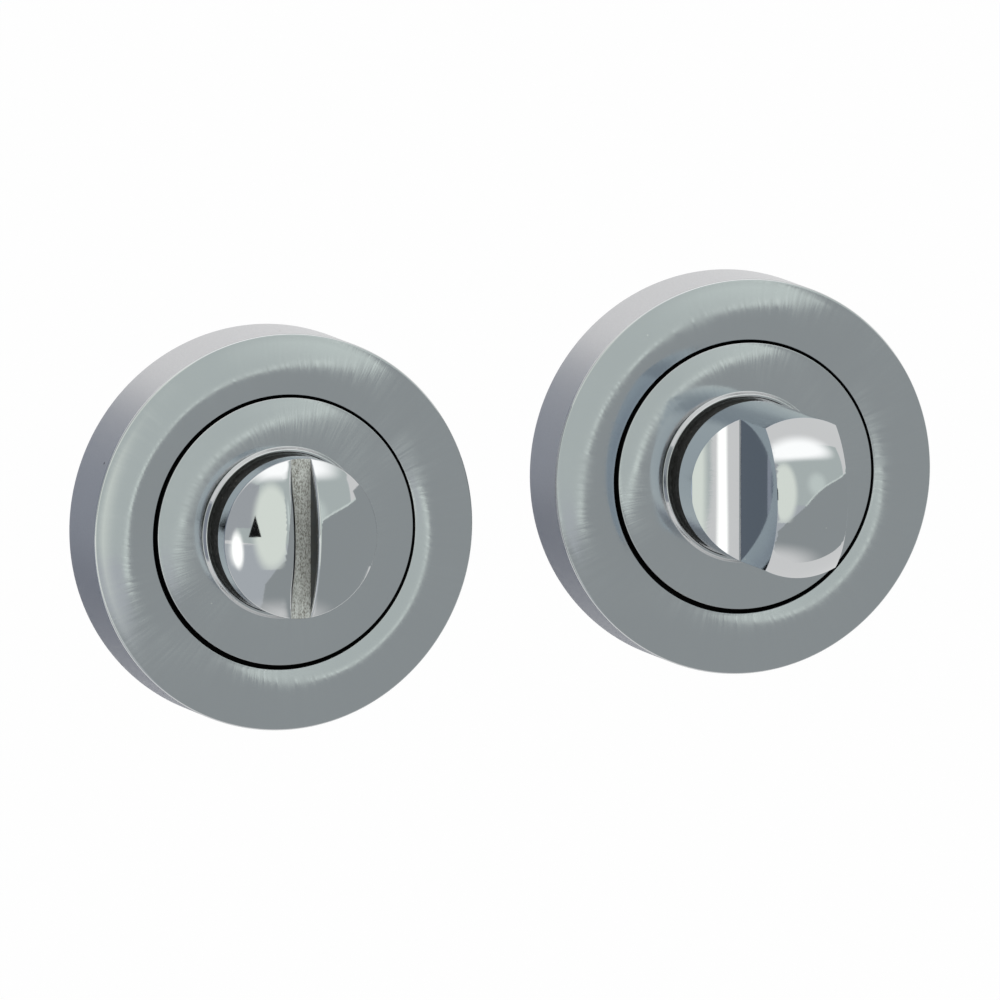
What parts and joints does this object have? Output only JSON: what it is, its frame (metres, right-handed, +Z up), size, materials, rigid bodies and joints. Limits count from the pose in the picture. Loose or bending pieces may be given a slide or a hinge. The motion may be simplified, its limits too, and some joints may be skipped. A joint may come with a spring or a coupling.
{
  "type": "bathroom thumb turn lock",
  "caption": "Bathroom lock set for a door: a round rose with a scooped thumb turn and a square spindle, and a matching rose with a coin-slotted emergency release.",
  "frame": {"origin": "on the thumb turn's axis, in the plane of the door's face", "axes": "+Z up, +Y into the door, both knobs point to -Y, and the release stands to -X"},
  "size_m": [0.1154, 0.0976, 0.0564],
  "materials": {
    "rose_chrome": "chrome plate on brass, polished faces and satin edge",
    "knob_chrome": "chrome plate on brass, polished",
    "black_nylon": "moulded black nylon",
    "plate_steel": "zinc plated steel",
    "spindle_steel": "drawn steel bar",
    "washer_steel": "pressed steel",
    "spring_steel": "dark phosphated spring steel"
  },
  "bodies": {
    "root": {"turn_cover_ring": "rose_chrome", "turn_inner_rose": "rose_chrome", "turn_mounting_plate": "plate_steel", "turn_bush": "black_nylon", "turn_spring_washer": "spring_steel", "release_cover_ring": "rose_chrome", "release_inner_rose": "rose_chrome", "release_mounting_plate": "plate_steel", "release_bush": "black_nylon", "release_spring_washer": "spring_steel"},
    "thumb_turn": {"thumb_turn": "knob_chrome", "spindle": "spindle_steel", "spindle_pin": "spring_steel", "turn_washer": "washer_steel", "turn_circlip": "spring_steel"},
    "release_turn": {"release_turn": "knob_chrome", "release_washer": "washer_steel", "release_circlip": "spring_steel"}
  },
  "joints": [
    {"name": "thumb_turn_hinge", "type": "hinge", "parent": "root", "child": "thumb_turn", "pos_m": [0, -0.01405, 0], "axis": [0, -1, 0], "range_deg": [-90, 90]},
    {"name": "release_hinge", "type": "hinge", "parent": "root", "child": "release_turn", "pos_m": [-0.0634, -0.01405, -0.0044], "axis": [0, -1, 0], "range_deg": [-90, 90]}
  ]
}
